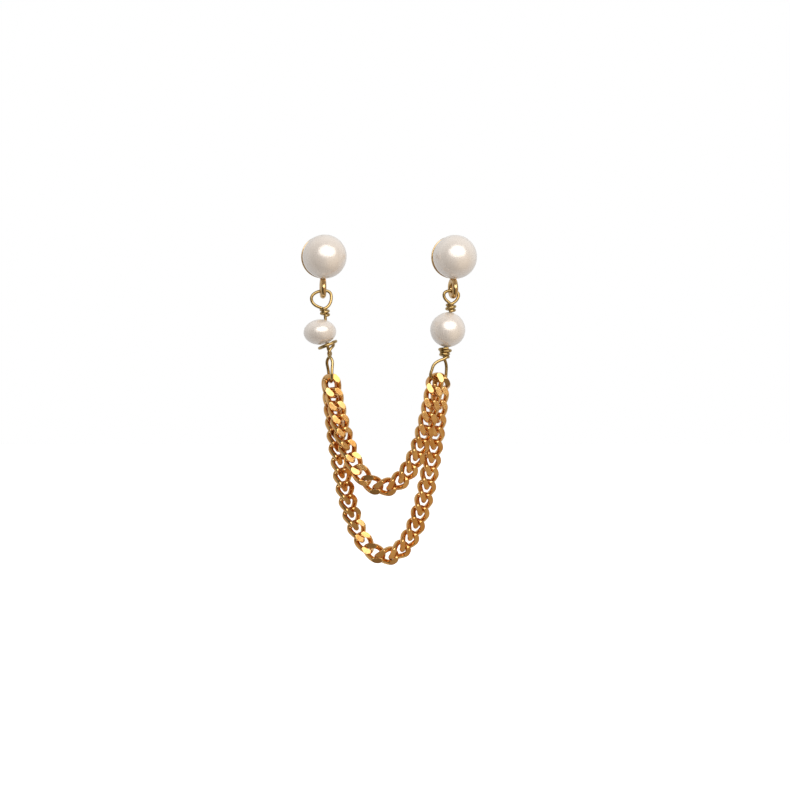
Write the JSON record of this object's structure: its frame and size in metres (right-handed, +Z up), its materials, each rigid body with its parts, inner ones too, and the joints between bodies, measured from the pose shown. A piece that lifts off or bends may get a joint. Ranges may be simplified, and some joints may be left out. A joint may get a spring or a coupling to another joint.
{
  "type": "tie tack",
  "caption": "Double pearl tie tack: clutch-back studs on pins, each with a wire-wrapped pearl drop, joined by two hanging curb chains.",
  "frame": {"origin": "on the front face of the cloth, midway between the two pins, on the line through their axes", "axes": "+Z up along the hanging chains, +X to the viewer's right, +Y back through the cloth, so the pearls face -Y"},
  "size_m": [0.026, 0.0152, 0.0488],
  "materials": {
    "pearl": "pearlescent nacre, satin to glossy, stands in for pearl",
    "setting_gold": "polished gold-filled brass",
    "wire_gold": "drawn gold-filled wire, softly polished",
    "chain_gold": "diamond-cut flats, polished gold plate",
    "spring_steel": "bright drawn spring wire"
  },
  "bodies": {
    "studs": {"left_setting": "setting_gold", "left_stud_pearl": "pearl", "left_post": "setting_gold", "right_setting": "setting_gold", "right_stud_pearl": "pearl", "right_post": "setting_gold"},
    "left_drop": {"left_drop_wire": "wire_gold"},
    "right_drop": {"right_drop_wire": "wire_gold"},
    "left_bead": {"left_drop_pearl": "pearl"},
    "right_bead": {"right_drop_pearl": "pearl"},
    "short_level_01": {"short_chain_left_01": "chain_gold", "short_chain_right_01": "chain_gold"},
    "short_level_02": {"short_chain_left_02": "chain_gold", "short_chain_right_02": "chain_gold"},
    "short_level_03": {"short_chain_left_03": "chain_gold", "short_chain_right_03": "chain_gold"},
    "short_level_04": {"short_chain_left_04": "chain_gold", "short_chain_right_04": "chain_gold"},
    "short_level_05": {"short_chain_left_05": "chain_gold", "short_chain_right_05": "chain_gold"},
    "short_level_06": {"short_chain_left_06": "chain_gold", "short_chain_right_06": "chain_gold"},
    "short_level_07": {"short_chain_left_07": "chain_gold", "short_chain_right_07": "chain_gold"},
    "short_level_08": {"short_chain_left_08": "chain_gold", "short_chain_right_08": "chain_gold"},
    "short_bottom": {"short_chain_bottom": "chain_gold"},
    "long_level_01": {"long_chain_left_01": "chain_gold", "long_chain_right_01": "chain_gold"},
    "long_level_02": {"long_chain_left_02": "chain_gold", "long_chain_right_02": "chain_gold"},
    "long_level_03": {"long_chain_left_03": "chain_gold", "long_chain_right_03": "chain_gold"},
    "long_level_04": {"long_chain_left_04": "chain_gold", "long_chain_right_04": "chain_gold"},
    "long_level_05": {"long_chain_left_05": "chain_gold", "long_chain_right_05": "chain_gold"},
    "long_level_06": {"long_chain_left_06": "chain_gold", "long_chain_right_06": "chain_gold"},
    "long_level_07": {"long_chain_left_07": "chain_gold", "long_chain_right_07": "chain_gold"},
    "long_level_08": {"long_chain_left_08": "chain_gold", "long_chain_right_08": "chain_gold"},
    "long_level_09": {"long_chain_left_09": "chain_gold", "long_chain_right_09": "chain_gold"},
    "long_level_10": {"long_chain_left_10": "chain_gold", "long_chain_right_10": "chain_gold"},
    "long_level_11": {"long_chain_left_11": "chain_gold", "long_chain_right_11": "chain_gold"},
    "long_level_12": {"long_chain_left_12": "chain_gold", "long_chain_right_12": "chain_gold"},
    "long_bottom": {"long_chain_bottom": "chain_gold"},
    "left_clutch": {"left_clutch_base": "setting_gold", "left_clutch_spring": "spring_steel"},
    "left_cap": {"left_clutch_cap": "setting_gold", "left_clutch_jaw": "setting_gold"},
    "right_clutch": {"right_clutch_base": "setting_gold", "right_clutch_spring": "spring_steel"},
    "right_cap": {"right_clutch_cap": "setting_gold", "right_clutch_jaw": "setting_gold"}
  },
  "joints": [
    {"name": "left_drop_swing", "type": "hinge", "parent": "studs", "child": "left_drop", "pos_m": [-0.0097, -0.0015, -0.00498], "axis": [-1, 0, 0], "range_deg": [-25, 35]},
    {"name": "right_drop_swing", "type": "hinge", "parent": "studs", "child": "right_drop", "pos_m": [0.0097, -0.0015, -0.00498], "axis": [-1, 0, 0], "range_deg": [-25, 35]},
    {"name": "left_drop_pearl_turn", "type": "hinge", "parent": "left_drop", "child": "left_bead", "pos_m": [-0.00917, -0.0015, -0.01101], "axis": [-0.0872, 0, 0.9962], "range_deg": [-12, 12]},
    {"name": "right_drop_pearl_turn", "type": "hinge", "parent": "right_drop", "child": "right_bead", "pos_m": [0.00893, -0.0015, -0.01075], "axis": [0.1323, 0, 0.9912], "continuous": true},
    {"name": "short_link_01_swing", "type": "hinge", "parent": "left_drop", "child": "short_level_01", "pos_m": [-0.00078, -0.00201, -0.01803], "axis": [-0.9997, -0.0192, -0.0138], "range_deg": [0, 5]},
    {"name": "short_link_02_swing", "type": "hinge", "parent": "short_level_01", "child": "short_level_02", "pos_m": [-0.00077, -0.0025, -0.01993], "axis": [-0.9998, 0, -0.0194], "range_deg": [0, 8]},
    {"name": "short_link_03_swing", "type": "hinge", "parent": "short_level_02", "child": "short_level_03", "pos_m": [-0.00077, -0.0025, -0.0219], "axis": [-0.9998, 0, -0.0204], "range_deg": [0, 8]},
    {"name": "short_link_04_swing", "type": "hinge", "parent": "short_level_03", "child": "short_level_04", "pos_m": [-0.00076, -0.0025, -0.02385], "axis": [-0.9998, 0, -0.0215], "range_deg": [0, 8]},
    {"name": "short_link_05_swing", "type": "hinge", "parent": "short_level_04", "child": "short_level_05", "pos_m": [-0.00076, -0.0025, -0.02578], "axis": [-0.9997, 0, -0.0231], "range_deg": [0, 8]},
    {"name": "short_link_06_swing", "type": "hinge", "parent": "short_level_05", "child": "short_level_06", "pos_m": [-0.00075, -0.0025, -0.0277], "axis": [-0.9997, 0, -0.0251], "range_deg": [0, 8]},
    {"name": "short_link_07_swing", "type": "hinge", "parent": "short_level_06", "child": "short_level_07", "pos_m": [-0.00074, -0.0025, -0.02956], "axis": [-0.9996, 0, -0.0279], "range_deg": [0, 8]},
    {"name": "short_link_08_swing", "type": "hinge", "parent": "short_level_07", "child": "short_level_08", "pos_m": [-0.00072, -0.0025, -0.03134], "axis": [-0.9995, 0, -0.0321], "range_deg": [0, 8]},
    {"name": "short_bottom_swing", "type": "hinge", "parent": "short_level_08", "child": "short_bottom", "pos_m": [-0.00069, -0.0025, -0.03292], "axis": [-0.9993, 0, -0.0387], "range_deg": [0, 8]},
    {"name": "long_link_01_swing", "type": "hinge", "parent": "left_drop", "child": "long_level_01", "pos_m": [-0.00023, -0.00115, -0.0181], "axis": [0.9993, -0.0365, 0.0041], "range_deg": [0, 5]},
    {"name": "long_link_02_swing", "type": "hinge", "parent": "long_level_01", "child": "long_level_02", "pos_m": [-0.00022, -0.0005, -0.01996], "axis": [0.9999, 0, 0.0171], "range_deg": [0, 8]},
    {"name": "long_link_03_swing", "type": "hinge", "parent": "long_level_02", "child": "long_level_03", "pos_m": [-0.00022, -0.0005, -0.02195], "axis": [0.9998, 0, 0.0175], "range_deg": [0, 8]},
    {"name": "long_link_04_swing", "type": "hinge", "parent": "long_level_03", "child": "long_level_04", "pos_m": [-0.00022, -0.0005, -0.02393], "axis": [0.9998, 0, 0.018], "range_deg": [0, 8]},
    {"name": "long_link_05_swing", "type": "hinge", "parent": "long_level_04", "child": "long_level_05", "pos_m": [-0.00022, -0.0005, -0.02592], "axis": [0.9998, 0, 0.0186], "range_deg": [0, 8]},
    {"name": "long_link_06_swing", "type": "hinge", "parent": "long_level_05", "child": "long_level_06", "pos_m": [-0.00021, -0.0005, -0.0279], "axis": [0.9998, 0, 0.0192], "range_deg": [0, 8]},
    {"name": "long_link_07_swing", "type": "hinge", "parent": "long_level_06", "child": "long_level_07", "pos_m": [-0.00021, -0.0005, -0.02988], "axis": [0.9998, 0, 0.02], "range_deg": [0, 8]},
    {"name": "long_link_08_swing", "type": "hinge", "parent": "long_level_07", "child": "long_level_08", "pos_m": [-0.00021, -0.0005, -0.03185], "axis": [0.9998, 0, 0.021], "range_deg": [0, 8]},
    {"name": "long_link_09_swing", "type": "hinge", "parent": "long_level_08", "child": "long_level_09", "pos_m": [-0.00021, -0.0005, -0.03381], "axis": [0.9998, 0, 0.0222], "range_deg": [0, 8]},
    {"name": "long_link_10_swing", "type": "hinge", "parent": "long_level_09", "child": "long_level_10", "pos_m": [-0.0002, -0.0005, -0.03576], "axis": [0.9997, 0, 0.0237], "range_deg": [0, 8]},
    {"name": "long_link_11_swing", "type": "hinge", "parent": "long_level_10", "child": "long_level_11", "pos_m": [-0.00019, -0.0005, -0.03769], "axis": [0.9997, 0, 0.0257], "range_deg": [0, 8]},
    {"name": "long_link_12_swing", "type": "hinge", "parent": "long_level_11", "child": "long_level_12", "pos_m": [-0.00018, -0.0005, -0.03959], "axis": [0.9996, 0, 0.0286], "range_deg": [0, 8]},
    {"name": "long_bottom_swing", "type": "hinge", "parent": "long_level_12", "child": "long_bottom", "pos_m": [-0.00017, -0.0005, -0.04141], "axis": [0.9995, 0, 0.033], "range_deg": [0, 8]},
    {"name": "left_clutch_slide", "type": "slide", "parent": "studs", "child": "left_clutch", "axis": [0, 1, 0], "range_m": [0, 0.0085]},
    {"name": "left_cap_pull", "type": "slide", "parent": "left_clutch", "child": "left_cap", "axis": [0, 1, 0], "range_m": [0, 0.0006], "stiffness_N_per_m": 60, "springref_m": -0.0005, "deforming": ["left_clutch_spring"]},
    {"name": "right_clutch_slide", "type": "slide", "parent": "studs", "child": "right_clutch", "axis": [0, 1, 0], "range_m": [0, 0.0085]},
    {"name": "right_cap_pull", "type": "slide", "parent": "right_clutch", "child": "right_cap", "axis": [0, 1, 0], "range_m": [0, 0.0006], "stiffness_N_per_m": 60, "springref_m": -0.0005, "deforming": ["right_clutch_spring"]}
  ],
  "couplings": [
    {"joint": "right_drop_swing", "follows": "left_drop_swing", "ratio": 1}
  ]
}
